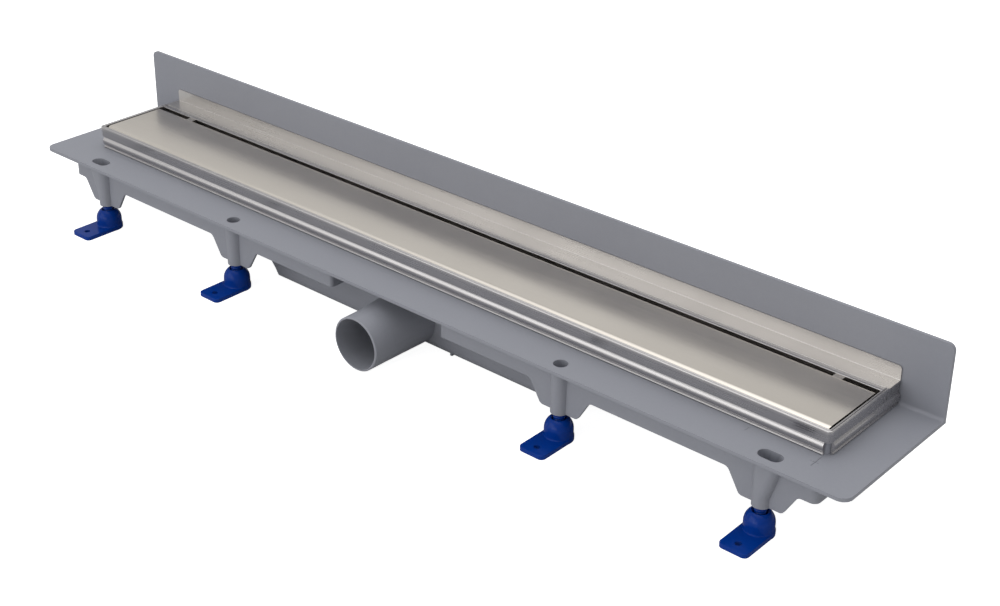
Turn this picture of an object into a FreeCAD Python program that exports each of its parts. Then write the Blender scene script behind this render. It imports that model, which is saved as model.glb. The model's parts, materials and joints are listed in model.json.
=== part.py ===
import FreeCAD, Part
import math
import os
from FreeCAD import Vector

# Linear shower drain for a place at the wall: a moulded channel on screw feet,
# a bent steel frame with a cover plate and a slot behind it, and a lift-out trap.
# Worked in millimetres with X along the drain from mid-length, Y from the steel
# frame's front face towards the wall and Z up from the flange's top face. At the
# end everything moves to the part's own frame, which stands on the floor.

# Overall
frameLength = 850.0
frameDepth = 101.2
flangeHeight = 69.0

# Flange and collar
flangeThickness = 3.0
flangeEndMargin = 39.25
flangeFrontMargin = 39.7
flangeCornerRadius = 9.0
collarThickness = 3.0
collarHeight = 66.9
collarCornerRadius = 6.0
collarFootRadius = 3.0

# Skirts under the flange
wall = 2.5
skirtDrop = 24.0
skirtLength = 877.0
skirtCornerRadius = 6.0
outletGap = 130.0
outletGapRadius = 3.5
rootOverlap = 1.5

# Screw bosses and their gussets
innerBossSpacing = 390.6
outerBossSpacing = 776.0
frontBossLine = -26.0
rearBossLine = 88.0
bossBottom = 44.2
bossTopDiameter = 16.5
bossBottomDiameter = 15.0
accessDiameter = 14.0
accessTravel = 10.0
accessFloorDiameter = 12.7
threadLength = 13.2
slotTaperEnd = 35.0
gussetDrop = 43.8
gussetFootWidth = 33.0
gussetTopWidth = 58.4
gussetTopRadius = 6.0
gussetFootRadius = 5.0
gussetShoulder = 6.0
tieRibDrop = 20.0
tieRibWall = 2.0
blindRoof = 6.0

# Troughs and sump
channelFront = 8.0
channelWidth = 60.5
troughLength = 829.0
troughEndDrop = 29.0
troughMiddleDrop = 37.0
troughRadius = 6.0
sumpDrop = 67.0
sumpFloorLength = 352.0
sumpSlope = 43.0
sumpRadius = 8.0
sumpEndRadius = 5.0

# Outlet spigot
spigotDiameter = 50.0
spigotWall = 1.8
spigotReach = 62.5
spigotStraight = 22.0
spigotRootDiameter = 54.8
spigotRootRise = 2.2
spigotBevel = 0.8

# Weir round the outlet, moulded with the sump
weirWall = 2.2
weirLength = 92.0
weirDepth = 31.5
weirTop = 36.0

# Ring wall that the steel frame snaps over
ringHeight = 14.0
ringThickness = 1.2
ringRadius = 5.0
ringClearance = 0.2
snapDepth = 1.3
snapHeight = 4.0
snapLength = 24.0
snapPitch = 118.0
snapCount = 7

# Steel frame strip
sheet = 1.2
lipRadius = 1.2
lipGap = 0.3
beadBottom = 4.0
beadHeight = 8.0
beadProud = 1.8
rimBottom = 17.4
rimTop = 21.5
rimProud = 0.5
cornerRadius = 2.5
cornerNotch = 4.6
notchTop = 12.3

# Cover plate, slot, rail and wall angle
deckHeight = 20.75
coverSheet = 1.5
coverLength = 842.8
coverShift = -0.2
coverFront = 3.0
coverBack = 72.0
noseRadius = 6.7
coverCornerRadius = 5.0
coverRearRadius = 2.0
coverArchCount = 8
coverLegWidth = 14.0
coverArchHeight = 10.5
coverArchRadius = 4.0
tabWidth = 8.5
tabDrop = 2.2
tabThickness = 1.5
tabPlaces = (-369.0, 393.0)
tabClearance = 0.2
slotWidth = 5.2
railWidth = 4.9
railGap = 0.7
legInset = 3.1
upstandHeight = 33.0
upstandCornerRadius = 3.0
upstandClearance = 0.1
bendRadius = 1.6
pinHoleDiameter = 2.0
pinHolePlace = (80.6, 13.5)

# Spindles and feet
spindleDiameter = 12.0
threadClearance = 0.05
spindleTop = 12.0
driverSlotWidth = 2.0
driverSlotDepth = 3.0
spindleChamfer = 1.0
shaftEnd = 48.2
neckDiameter = 9.0
neckTaper = 1.8
ballDiameter = 14.0
ballHeight = 12.0
socketClearance = 0.08
domeDiameter = 24.2
domeCentreHeight = 10.7
domeMouthHeight = 21.0
domeMouthDiameter = 12.7
throatDiameter = 10.8
throatHeight = 17.2
basePlate = 4.0
baseDiameter = 25.0
baseFlare = 1.6
tabReach = 36.0
tabCornerRadius = 4.5
screwHoleDiameter = 5.5
screwHoleReach = 27.0

# Trap bell, its seal and the strainer
bellLength = 116.0
bellDepth = 41.5
bellWall = 2.0
bellTop = 9.5
bellDip = 59.0
bellCornerRadius = 6.0
bellFootWidth = 6.0
bellFlange = 4.0
sealThickness = 2.0
gripLength = 34.0
gripHeight = 6.5
gripWall = 3.0
strainerSheet = 2.0
strainerLength = 436.0
strainerGap = 0.8
strainerCrownLength = 128.0
strainerCrownTop = 1.0
strainerShoulder = 13.0
strainerDrop = 26.4
strainerBendRadius = 3.0
strainerSlotWidth = 3.0
strainerSlotPitch = 8.0
strainerSlotMargin = 6.0
strainerFoot = 4.0

# Derived places
flangeLength = frameLength + 2 * flangeEndMargin
collarBack = frameDepth + collarThickness
overallDepth = spigotReach + collarBack
channelBack = channelFront + channelWidth
sumpFloor = sumpDrop - wall
spigotCentre = sumpDrop - spigotDiameter / 2
spigotRootCentre = spigotCentre - spigotRootRise
railFront = coverBack + slotWidth
railBack = railFront + railWidth
angleFront = railBack + railGap
upstandBack = frameDepth - upstandClearance
floorLevel = -flangeHeight
strainerFront = channelFront + wall + strainerGap
strainerBack = channelBack - wall - strainerGap


# Outlines, lifted into plan, front view or section

def inPlan(z):
    return lambda p: Vector(p.x, p.y, z)


def inFront(y):
    return lambda p: Vector(p.x, y, p.y)


def inSection(x):
    return lambda p: Vector(x, p.x, p.y)


def roundedWire(corners, lift):
    # Closed outline through (a, b, radius) corners, each radius as a tangent arc.
    turns = []
    for index, (a, b, radius) in enumerate(corners):
        before = corners[index - 1]
        after = corners[(index + 1) % len(corners)]
        corner = Vector(a, b, 0)
        if radius <= 0:
            turns.append((corner, None, corner))
            continue
        toBefore = Vector(before[0] - a, before[1] - b, 0).normalize()
        toAfter = Vector(after[0] - a, after[1] - b, 0).normalize()
        half = toBefore.getAngle(toAfter) / 2
        reach = radius / math.tan(half)
        bisector = (toBefore + toAfter).normalize()
        middle = corner + bisector * (radius / math.sin(half) - radius)
        turns.append((corner + toBefore * reach, middle, corner + toAfter * reach))
    edges = []
    for index, (start, middle, end) in enumerate(turns):
        if middle is not None:
            edges.append(Part.Arc(lift(start), lift(middle), lift(end)).toShape())
        following = turns[(index + 1) % len(turns)][0]
        if end.distanceToPoint(following) > 1e-6:
            edges.append(Part.LineSegment(lift(end), lift(following)).toShape())
    return Part.Wire(edges)


def sharp(points):
    return [(a, b, 0) for a, b in points]


def rectangle(a0, b0, a1, b1, radius=0):
    return [(a0, b0, radius), (a1, b0, radius), (a1, b1, radius), (a0, b1, radius)]


def planPrism(corners, bottom, top):
    return Part.Face(roundedWire(corners, inPlan(bottom))).extrude(Vector(0, 0, top - bottom))


def frontPrism(corners, front, back):
    return Part.Face(roundedWire(corners, inFront(front))).extrude(Vector(0, back - front, 0))


def sectionPrism(corners, left, right):
    return Part.Face(roundedWire(corners, inSection(left))).extrude(Vector(right - left, 0, 0))


def block(x0, y0, z0, x1, y1, z1):
    return Part.makeBox(x1 - x0, y1 - y0, z1 - z0, Vector(x0, y0, z0))


def cone(x, y, bottom, top, bottomDiameter, topDiameter):
    if abs(bottomDiameter - topDiameter) < 1e-6:
        return Part.makeCylinder(bottomDiameter / 2, top - bottom, Vector(x, y, bottom))
    return Part.makeCone(bottomDiameter / 2, topDiameter / 2, top - bottom, Vector(x, y, bottom))


def mirrored(shape):
    return shape.mirror(Vector(0, 0, 0), Vector(1, 0, 0))


def bothEnds(shape):
    return [shape, mirrored(shape)]


def slotWire(x0, x1, y, radius, z):
    # Slot outline with half-round ends about x0 and x1.
    leftArc = Part.Arc(Vector(x0, y + radius, z), Vector(x0 - radius, y, z),
                       Vector(x0, y - radius, z))
    rightArc = Part.Arc(Vector(x1, y - radius, z), Vector(x1 + radius, y, z),
                        Vector(x1, y + radius, z))
    lower = Part.LineSegment(Vector(x0, y - radius, z), Vector(x1, y - radius, z))
    upper = Part.LineSegment(Vector(x1, y + radius, z), Vector(x0, y + radius, z))
    return Part.Wire([leftArc.toShape(), lower.toShape(), rightArc.toShape(), upper.toShape()])


def joined(shapes):
    return shapes[0].fuse(shapes[1:]).removeSplitter()


def bossPlaces():
    # Left to right, as (x, is an end boss).
    outer = outerBossSpacing / 2
    inner = innerBossSpacing / 2
    return [(-outer, True), (-inner, False), (inner, False), (outer, True)]


# Channel body: flange with collar

def channelPlate():
    half = flangeLength / 2
    front = -flangeFrontMargin
    section = [(front, -flangeThickness, 0), (collarBack, -flangeThickness, 0),
               (collarBack, collarHeight, 0), (frameDepth, collarHeight, 0),
               (frameDepth, 0, collarFootRadius), (front, 0, 0)]
    plate = sectionPrism(section, -half, half)
    plan = [(-half, front, flangeCornerRadius), (half, front, flangeCornerRadius),
            (half, collarBack, 0), (-half, collarBack, 0)]
    face = [(-half, -flangeThickness, 0), (half, -flangeThickness, 0),
            (half, collarHeight, collarCornerRadius), (-half, collarHeight, collarCornerRadius)]
    plate = plate.common(planPrism(plan, -flangeThickness, collarHeight))
    return plate.common(frontPrism(face, front, collarBack))


# Channel body: skirt, which turns back to the sump on both sides of the outlet

def skirtOutline(inset):
    end = skirtLength / 2 - inset
    front = frontBossLine - wall / 2 + inset
    back = rearBossLine + wall / 2 - inset
    gap = outletGap / 2 + inset
    recess = channelFront + inset
    outer = skirtCornerRadius - inset
    lipped = outletGapRadius - inset
    return [(-end, front, outer), (-gap, front, lipped), (-gap, recess, 0), (gap, recess, 0),
            (gap, front, lipped), (end, front, outer), (end, back, outer), (-end, back, outer)]


def skirt():
    top = -flangeThickness + rootOverlap
    outside = planPrism(skirtOutline(0), -skirtDrop, top)
    return outside.cut(planPrism(skirtOutline(wall), -skirtDrop, top))


def gusset(x, y):
    foot = gussetFootWidth / 2
    crown = gussetTopWidth / 2
    shoulder = crown + gussetShoulder + gussetTopRadius
    lap = -skirtDrop + rootOverlap
    outline = [(x - shoulder, lap, 0), (x - shoulder, -skirtDrop, 0),
               (x - crown, -skirtDrop, gussetTopRadius), (x - foot, -gussetDrop, gussetFootRadius),
               (x + foot, -gussetDrop, gussetFootRadius), (x + crown, -skirtDrop, gussetTopRadius),
               (x + shoulder, -skirtDrop, 0), (x + shoulder, lap, 0)]
    return frontPrism(outline, y - wall / 2, y + wall / 2)


def tieRib(x, fromY, toY):
    top = -flangeThickness + rootOverlap
    return block(x - tieRibWall / 2, fromY, -tieRibDrop, x + tieRibWall / 2, toY, top)


# Channel body: screw bosses, drafted, the end ones in front drawn out to a slot

def roundBoss(x, y):
    return cone(x, y, -bossBottom, -flangeThickness + rootOverlap,
                bossBottomDiameter, bossTopDiameter)


def slotLoft(x, y, top, bottom, topDiameter, bottomDiameter):
    # The slot is drawn outwards, away from mid-length, and closes up downwards.
    outward = math.copysign(1.0, x)
    ends = []
    for level, diameter, travel in ((top, topDiameter, accessTravel),
                                    (bottom, bottomDiameter, accessTravel / 25)):
        places = sorted((x, x + outward * travel))
        ends.append(slotWire(places[0], places[1], y, diameter / 2, level))
    return Part.makeLoft(ends, True, True)


def bossOutside(x, y, drawnOut):
    boss = roundBoss(x, y)
    if not drawnOut:
        return boss
    skin = slotLoft(x, y, -flangeThickness + rootOverlap, -slotTaperEnd,
                    bossTopDiameter, bossBottomDiameter)
    return boss.fuse(skin)


def bossInside(x, y, drawnOut):
    threadDiameter = spindleDiameter + 2 * threadClearance
    threadTop = -bossBottom + threadLength
    bore = cone(x, y, -bossBottom, threadTop, threadDiameter, threadDiameter)
    if drawnOut:
        return bore.fuse(slotLoft(x, y, 0, threadTop, accessDiameter, accessFloorDiameter))
    return bore.fuse(cone(x, y, threadTop, 0, accessFloorDiameter, accessDiameter))


def blindInside(x, y):
    threadDiameter = spindleDiameter + 2 * threadClearance
    return cone(x, y, -bossBottom, -blindRoof, threadDiameter, threadDiameter)


# Channel body: troughs that fall to the sump, as one outside and one inside

def edgesWithin(shape, test):
    return [edge for edge in shape.Edges if all(test(v.Point) for v in edge.Vertexes)]


def troughForm(inset, top):
    end = troughLength / 2 - inset
    front = channelFront + inset
    back = channelBack - inset
    endZ = -troughEndDrop + inset
    middleZ = -troughMiddleDrop + inset
    outline = sharp([(-end, top), (-end, endZ), (0, middleZ), (end, endZ), (end, top)])
    form = frontPrism(outline, front, back)
    low = edgesWithin(form, lambda p: p.z < endZ + 0.01)
    return form.makeFillet(troughRadius - inset, low)


def sumpForm(inset, top):
    floor = -sumpDrop + inset
    slant = math.tan(math.radians(sumpSlope))
    bevel = inset * (1 / math.cos(math.radians(sumpSlope)) - slant)
    foot = sumpFloorLength / 2 - bevel
    head = foot + (top - floor) * slant
    front = channelFront + inset
    back = channelBack - inset
    outline = sharp([(-head, top), (-foot, floor), (foot, floor), (head, top)])
    form = frontPrism(outline, front, back)
    across = edgesWithin(form, lambda p: p.z < floor + 0.01)
    cross = [edge for edge in across if abs(edge.Vertexes[0].X - edge.Vertexes[1].X) < 0.01]
    along = [edge for edge in form.Edges if edge.Length > 1 and
             abs(edge.Vertexes[0].Y - edge.Vertexes[1].Y) < 0.01 and
             not (edge.Vertexes[0].Z > top - 0.01 and edge.Vertexes[1].Z > top - 0.01)]
    form = form.makeFillet(sumpRadius - inset, along)
    return form


def channelOutside():
    return [troughForm(0, -flangeThickness + rootOverlap), sumpForm(0, -troughEndDrop)]


def channelInside():
    return [troughForm(wall, 0), sumpForm(wall, -troughEndDrop + wall)]


# Channel body: outlet spigot, straight at its mouth and flared at its root

def circleAlongY(y, z, radius):
    # Four quarter arcs, each from one axis to the next.
    arcs = []
    for quarter in range(4):
        places = []
        for part in (0, 0.5, 1):
            turn = (quarter + part) * math.pi / 2
            places.append(Vector(radius * math.cos(turn), y, z + radius * math.sin(turn)))
        arcs.append(Part.Arc(*places).toShape())
    return Part.Wire(arcs)


def spigotForm(inset, mouth, root):
    straightEnd = -spigotReach + spigotStraight
    pipe = Part.makeCylinder(spigotDiameter / 2 - inset, straightEnd - mouth,
                             Vector(0, mouth, -spigotCentre), Vector(0, 1, 0))
    flare = Part.makeLoft([
        circleAlongY(straightEnd, -spigotCentre, spigotDiameter / 2 - inset),
        circleAlongY(root, -spigotRootCentre, spigotRootDiameter / 2 - inset)], True, True)
    return pipe.fuse(flare)


def spigotOutside():
    form = spigotForm(0, -spigotReach, channelFront + wall)
    rim = [edge for edge in form.Edges if abs(edge.BoundBox.YMax + spigotReach) < 0.01]
    return form.makeChamfer(spigotBevel, rim)


def weir():
    # Three walls that close off the outlet up to the water level.
    half = weirLength / 2
    front = channelFront + wall - rootOverlap
    back = channelFront + wall + weirDepth
    floor = -sumpFloor - rootOverlap
    outside = planPrism(rectangle(-half, front, half, back), floor, -weirTop)
    inside = block(-half + weirWall, front, floor, half - weirWall, back - weirWall, -weirTop)
    return outside.cut(inside)


# Channel body: ring wall under the steel frame, with snap ribs for its bead

def ringOutline(inset):
    end = frameLength / 2 - sheet - ringClearance - inset
    front = sheet + ringClearance + inset
    back = frameDepth - sheet - ringClearance - inset
    radius = ringRadius - inset
    return [(-end, front, radius), (end, front, radius), (end, back, radius), (-end, back, radius)]


def ringWall():
    bottom = -rootOverlap
    ring = planPrism(ringOutline(0), bottom, ringHeight)
    ring = ring.cut(planPrism(ringOutline(ringThickness), bottom, ringHeight))
    rear = block(-frameLength, angleFront - railGap / 2, bottom, frameLength, frameDepth, ringHeight)
    return ring.cut(rear)


def snapRibs():
    middle = beadBottom + beadHeight / 2
    root = sheet + ringClearance + ringThickness / 2
    tip = sheet + ringClearance - snapDepth
    section = sharp([(root, middle - snapHeight), (root, middle + snapHeight),
                     (tip, middle + snapHeight / 4), (tip, middle - snapHeight / 4)])
    ribs = []
    for index in range(snapCount):
        centre = (index - (snapCount - 1) / 2) * snapPitch
        ribs.append(sectionPrism(section, centre - snapLength / 2, centre + snapLength / 2))
    return ribs


def makeChannelBody():
    outside = [channelPlate(), skirt(), spigotOutside(), ringWall()]
    outside += channelOutside() + snapRibs()
    inside = [spigotForm(spigotWall, -spigotReach, channelFront + wall)]
    for x, isEnd in bossPlaces():
        outside += [gusset(x, frontBossLine), gusset(x, rearBossLine)]
        outside += [tieRib(x, frontBossLine, channelFront + wall / 2),
                    tieRib(x, channelBack - wall / 2, rearBossLine)]
        outside += [bossOutside(x, frontBossLine, isEnd), bossOutside(x, rearBossLine, False)]
        inside += [bossInside(x, frontBossLine, isEnd), blindInside(x, rearBossLine)]
    body = outside[0].fuse(outside[1:])
    body = body.cut(channelInside() + inside)
    return body.fuse(weir().cut(spigotForm(spigotWall, -spigotReach, channelFront + wall))).removeSplitter()


# Steel frame: one strip bent round the front and both ends

def stripSection():
    # (outward, up) outline: lip, bead, flat band and hemmed rim.
    hem = (rimProud + sheet * 1.5 - rimProud) / 2
    beadTop = beadBottom + beadHeight
    beadMiddle = beadBottom + beadHeight / 2
    beadRadius = ((beadHeight / 2) ** 2 + beadProud ** 2) / (2 * beadProud)
    innerHalf = math.sqrt((beadRadius - sheet) ** 2 - (beadRadius - beadProud - sheet) ** 2)
    inner = -sheet
    hemInner = inner - rimProud - 0.1
    hemMiddle = (rimProud + hemInner) / 2
    hemRadius = (rimProud - hemInner) / 2
    lipMiddle = lipGap + lipRadius
    points = {
        "innerFoot": Vector(inner, lipGap), "lipFoot": Vector(rimProud / 2, lipGap),
        "lipTip": Vector(rimProud / 2 + lipRadius, lipMiddle),
        "lipTop": Vector(rimProud / 2, lipMiddle + lipRadius),
        "band": Vector(0, lipMiddle + lipRadius + rimProud),
        "beadFoot": Vector(0, beadBottom), "beadTip": Vector(beadProud, beadMiddle),
        "beadTop": Vector(0, beadTop), "rimFoot": Vector(0, rimBottom),
        "rimOut": Vector(rimProud, rimBottom + rimProud / 2),
        "rimShoulder": Vector(rimProud, rimTop - hemRadius), "rimTip": Vector(hemMiddle, rimTop),
        "hemShoulder": Vector(hemInner, rimTop - hemRadius), "hemFoot": Vector(hemInner, rimBottom),
        "bandBack": Vector(inner, rimBottom),
        "hollowTop": Vector(inner, beadMiddle + innerHalf),
        "hollowTip": Vector(beadProud - sheet, beadMiddle),
        "hollowFoot": Vector(inner, beadMiddle - innerHalf)}
    runs = [("innerFoot", "lipFoot"), ("lipFoot", "lipTip", "lipTop"), ("lipTop", "band"),
            ("band", "beadFoot"), ("beadFoot", "beadTip", "beadTop"), ("beadTop", "rimFoot"),
            ("rimFoot", "rimOut"), ("rimOut", "rimShoulder"),
            ("rimShoulder", "rimTip", "hemShoulder"), ("hemShoulder", "hemFoot"),
            ("hemFoot", "bandBack"), ("bandBack", "hollowTop"),
            ("hollowTop", "hollowTip", "hollowFoot"), ("hollowFoot", "innerFoot")]
    return [[points[name] for name in run] for run in runs]


def stripFace(lift):
    edges = []
    for run in stripSection():
        places = [lift(p) for p in run]
        if len(places) == 2:
            edges.append(Part.LineSegment(*places).toShape())
        else:
            edges.append(Part.Arc(*places).toShape())
    return Part.Face(Part.Wire(edges))


def makeFrameStrip():
    half = frameLength / 2
    turn = half - cornerRadius
    back = upstandBack - bendRadius
    front = stripFace(lambda p: Vector(-turn, -p.x, p.y)).extrude(Vector(2 * turn, 0, 0))
    corner = stripFace(lambda p: Vector(turn, -p.x, p.y))
    corner = corner.revolve(Vector(turn, cornerRadius, 0), Vector(0, 0, 1), 90)
    end = stripFace(lambda p: Vector(half + p.x, cornerRadius, p.y))
    end = end.extrude(Vector(0, back - cornerRadius, 0))
    strip = joined([front] + bothEnds(corner) + bothEnds(end))
    notch = block(half - cornerNotch, -flangeFrontMargin, -1, half + flangeEndMargin,
                  cornerNotch, notchTop)
    rimEnd = block(half - flangeEndMargin, railFront, rimBottom - sheet, half + flangeEndMargin,
                   frameDepth, rimTop + sheet)
    pin = Part.makeCylinder(pinHoleDiameter / 2, 4 * sheet,
                            Vector(half - 3 * sheet, pinHolePlace[0], pinHolePlace[1]),
                            Vector(1, 0, 0))
    strip = strip.cut(bothEnds(notch) + bothEnds(rimEnd) + bothEnds(pin))
    seat = block(half - sheet, railFront, rimBottom - sheet, half, back, deckHeight - sheet)
    return joined([strip] + bothEnds(seat))


# Rail and wall angle, whose tops run over the frame's ends

def makeRearRail():
    half = frameLength / 2
    top = block(-half, railFront, deckHeight - sheet, half, railBack, deckHeight)
    legHalf = half - legInset
    legs = []
    for y in (railFront, railBack - sheet):
        legs.append(block(-legHalf, y, 0, legHalf, y + sheet, deckHeight - sheet))
    rail = joined([top] + legs)
    upper = [edge for edge in rail.Edges if edge.Length > frameLength - 1 and
             edge.Vertexes[0].Z > deckHeight - 0.01]
    return rail.makeFillet(sheet / 3, upper)


def makeWallAngle():
    half = frameLength / 2
    inner = upstandBack - sheet
    section = [(angleFront, deckHeight - sheet, 0), (upstandBack, deckHeight - sheet, bendRadius),
               (upstandBack, upstandHeight, 0), (inner, upstandHeight, 0),
               (inner, deckHeight, bendRadius - sheet), (angleFront, deckHeight, sheet / 3)]
    angle = sectionPrism(section, -half, half)
    face = [(-half, 0, 0), (half, 0, 0), (half, upstandHeight, upstandCornerRadius),
            (-half, upstandHeight, upstandCornerRadius)]
    angle = angle.common(frontPrism(face, angleFront, upstandBack))
    legHalf = half - legInset
    leg = block(-legHalf, angleFront, 0, legHalf, angleFront + sheet, deckHeight - sheet)
    return joined([angle, leg])


# Cover plate: nose, deck and rear leg folded from one sheet, on legs with arches

def coverSection():
    thick = coverSheet
    return [(coverFront, 0, 0), (coverFront, deckHeight, noseRadius),
            (coverBack, deckHeight, coverRearRadius), (coverBack, 0, 0),
            (coverBack - thick, 0, 0), (coverBack - thick, deckHeight - thick, coverRearRadius - thick),
            (coverFront + thick, deckHeight - thick, noseRadius - thick), (coverFront + thick, 0, 0)]


def makeCoverPlate():
    left = -coverLength / 2
    cover = sectionPrism(coverSection(), left, -left)
    pitch = (coverLength - coverLegWidth) / coverArchCount
    arches = []
    for index in range(coverArchCount):
        start = left + coverLegWidth + index * pitch
        outline = [(start, -1, 0), (start + pitch - coverLegWidth, -1, 0),
                   (start + pitch - coverLegWidth, coverArchHeight, coverArchRadius),
                   (start, coverArchHeight, coverArchRadius)]
        arches.append(frontPrism(outline, 0, frameDepth))
    relieved = [(left, coverFront, coverCornerRadius), (-left, coverFront, coverCornerRadius),
                (-left, coverBack, 0), (left, coverBack, 0)]
    cover = cover.common(planPrism(relieved, 0, deckHeight)).cut(arches)
    tabs = []
    tabTop = deckHeight - tabDrop
    for place in tabPlaces:
        x = place - coverShift
        tabs.append(block(x - tabWidth / 2, coverBack - coverSheet, tabTop - tabThickness,
                          x + tabWidth / 2, railFront - tabClearance, tabTop))
    cover = joined([cover] + tabs)
    cover.translate(Vector(coverShift, 0, 0))
    return cover


# Spindle and foot, both about an upright axis through the ball

def makeSpindle():
    radius = spindleDiameter / 2
    neck = neckDiameter / 2
    ball = ballDiameter / 2
    ballCentre = floorLevel + ballHeight
    ballTop = ballCentre + math.sqrt(ball ** 2 - neck ** 2)
    bottom = Vector(0, 0, ballCentre - ball)
    top = Vector(0, 0, -spindleTop)
    edges = [
        Part.LineSegment(bottom, top),
        Part.LineSegment(top, Vector(radius - spindleChamfer, 0, -spindleTop)),
        Part.LineSegment(Vector(radius - spindleChamfer, 0, -spindleTop),
                         Vector(radius, 0, -spindleTop - spindleChamfer)),
        Part.LineSegment(Vector(radius, 0, -spindleTop - spindleChamfer),
                         Vector(radius, 0, -shaftEnd)),
        Part.LineSegment(Vector(radius, 0, -shaftEnd), Vector(neck, 0, -shaftEnd - neckTaper)),
        Part.LineSegment(Vector(neck, 0, -shaftEnd - neckTaper), Vector(neck, 0, ballTop)),
        Part.Arc(Vector(neck, 0, ballTop), Vector(ball, 0, ballCentre), bottom)]
    face = Part.Face(Part.Wire([edge.toShape() for edge in edges]))
    spindle = face.revolve(Vector(0, 0, 0), Vector(0, 0, 1), 360)
    driver = block(-spindleDiameter, -driverSlotWidth / 2, -spindleTop - driverSlotDepth,
                   spindleDiameter, driverSlotWidth / 2, 0)
    return spindle.cut(driver)


def footDome():
    socket = ballDiameter / 2 + socketClearance
    ballCentre = floorLevel + ballHeight
    domeRadius = domeDiameter / 2
    domeCentre = floorLevel + domeCentreHeight
    mouthZ = floorLevel + domeMouthHeight
    mouth = domeMouthDiameter / 2
    throat = throatDiameter / 2
    throatZ = floorLevel + throatHeight
    socketTop = ballCentre + math.sqrt(socket ** 2 - throat ** 2)
    shoulder = math.sqrt(domeRadius ** 2 - (mouthZ - domeCentre) ** 2)
    rise = math.radians(45)
    crown = Vector(domeRadius * math.cos(rise), 0, domeCentre + domeRadius * math.sin(rise))
    flareTop = floorLevel + basePlate + 2 * baseFlare
    base = Vector(domeRadius + baseFlare / 4, 0, floorLevel + basePlate / 2)
    rim = max(shoulder, mouth + 0.2)
    edges = [
        Part.LineSegment(Vector(0, 0, floorLevel + basePlate / 2), base),
        Part.LineSegment(base, Vector(domeRadius, 0, flareTop)),
        Part.LineSegment(Vector(domeRadius, 0, flareTop), Vector(domeRadius, 0, domeCentre)),
        Part.Arc(Vector(domeRadius, 0, domeCentre), crown, Vector(rim, 0, mouthZ)),
        Part.LineSegment(Vector(rim, 0, mouthZ), Vector(mouth, 0, mouthZ)),
        Part.LineSegment(Vector(mouth, 0, mouthZ), Vector(throat, 0, throatZ)),
        Part.LineSegment(Vector(throat, 0, throatZ), Vector(throat, 0, socketTop)),
        Part.Arc(Vector(throat, 0, socketTop), Vector(socket, 0, ballCentre),
                 Vector(0, 0, ballCentre - socket)),
        Part.LineSegment(Vector(0, 0, ballCentre - socket), Vector(0, 0, floorLevel + basePlate / 2))]
    face = Part.Face(Part.Wire([edge.toShape() for edge in edges]))
    return face.revolve(Vector(0, 0, 0), Vector(0, 0, 1), 360)


def makeFoot():
    half = baseDiameter / 2
    outline = [(-half, -tabReach, tabCornerRadius), (half, -tabReach, tabCornerRadius),
               (half, 0, 0), (-half, 0, 0)]
    top = floorLevel + basePlate
    plate = planPrism(outline, floorLevel, top)
    disc = cone(0, 0, floorLevel, top, baseDiameter, baseDiameter)
    foot = joined([plate, disc, footDome()])
    screw = cone(0, -screwHoleReach, floorLevel, top, screwHoleDiameter, screwHoleDiameter)
    return foot.cut(screw)


# Trap: a bell with three dipping walls, sealed against the outlet wall in front

def makeTrapBell():
    half = bellLength / 2
    seat = channelFront + wall + sealThickness
    back = channelFront + wall + bellDepth
    floor = -sumpFloor
    outer = [(-half, seat, 0), (half, seat, 0), (half, back, bellCornerRadius),
             (-half, back, bellCornerRadius)]
    inner = [(-half + bellWall, seat, 0), (half - bellWall, seat, 0),
             (half - bellWall, back - bellWall, bellCornerRadius - bellWall),
             (-half + bellWall, back - bellWall, bellCornerRadius - bellWall)]
    shell = planPrism(outer, -bellDip, -bellTop)
    shell = shell.cut(planPrism(inner, -bellDip, -bellTop - bellWall))
    flange = frontPrism(sealOutline(), seat, seat + bellWall)
    feet = []
    for y in (seat + 2 * bellWall, back - bellCornerRadius - bellFootWidth):
        foot = block(half - bellWall, y, floor, half, y + bellFootWidth, -bellDip + bellWall)
        feet += bothEnds(foot)
    middle = (seat + back) / 2
    gripOutside = [(-gripLength / 2, -bellTop - rootOverlap, 0),
                   (gripLength / 2, -bellTop - rootOverlap, 0),
                   (gripLength / 2, -bellTop + gripHeight, gripWall),
                   (-gripLength / 2, -bellTop + gripHeight, gripWall)]
    grip = frontPrism(gripOutside, middle - gripWall / 2, middle + gripWall / 2)
    eye = block(-gripLength / 2 + gripWall, middle - gripWall, -bellTop,
                gripLength / 2 - gripWall, middle + gripWall, -bellTop + gripHeight - gripWall / 2)
    return joined([shell, flange, grip.cut(eye)] + feet)


def sealOutline():
    # Upside-down U along the bell's front edges, clear of the outlet's bore.
    half = bellLength / 2
    inner = half - bellFlange
    return sharp([(-half, -bellDip), (-inner, -bellDip), (-inner, -bellTop - bellFlange),
                  (inner, -bellTop - bellFlange), (inner, -bellDip), (half, -bellDip),
                  (half, -bellTop), (-half, -bellTop)])


def makeTrapSeal():
    front = channelFront + wall
    return frontPrism(sealOutline(), front, front + sealThickness)


# Strainer: a bent sieve that arches over the bell and lies on both trough floors

def strainerLine(offset):
    low = strainerCrownTop - strainerDrop - offset
    high = strainerCrownTop - offset
    slant = math.hypot(strainerShoulder, strainerDrop)
    shift = offset * (slant - strainerShoulder) / strainerDrop
    end = strainerLength / 2
    crown = strainerCrownLength / 2 - shift
    foot = crown + strainerShoulder
    return [(-end, low, 0), (-foot, low, strainerBendRadius), (-crown, high, strainerBendRadius),
            (crown, high, strainerBendRadius), (foot, low, strainerBendRadius), (end, low, 0)]


def troughFloorAt(x):
    fall = (troughMiddleDrop - troughEndDrop) / (troughLength / 2 - wall)
    return -troughEndDrop + wall - (troughLength / 2 - wall - abs(x)) * fall


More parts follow.
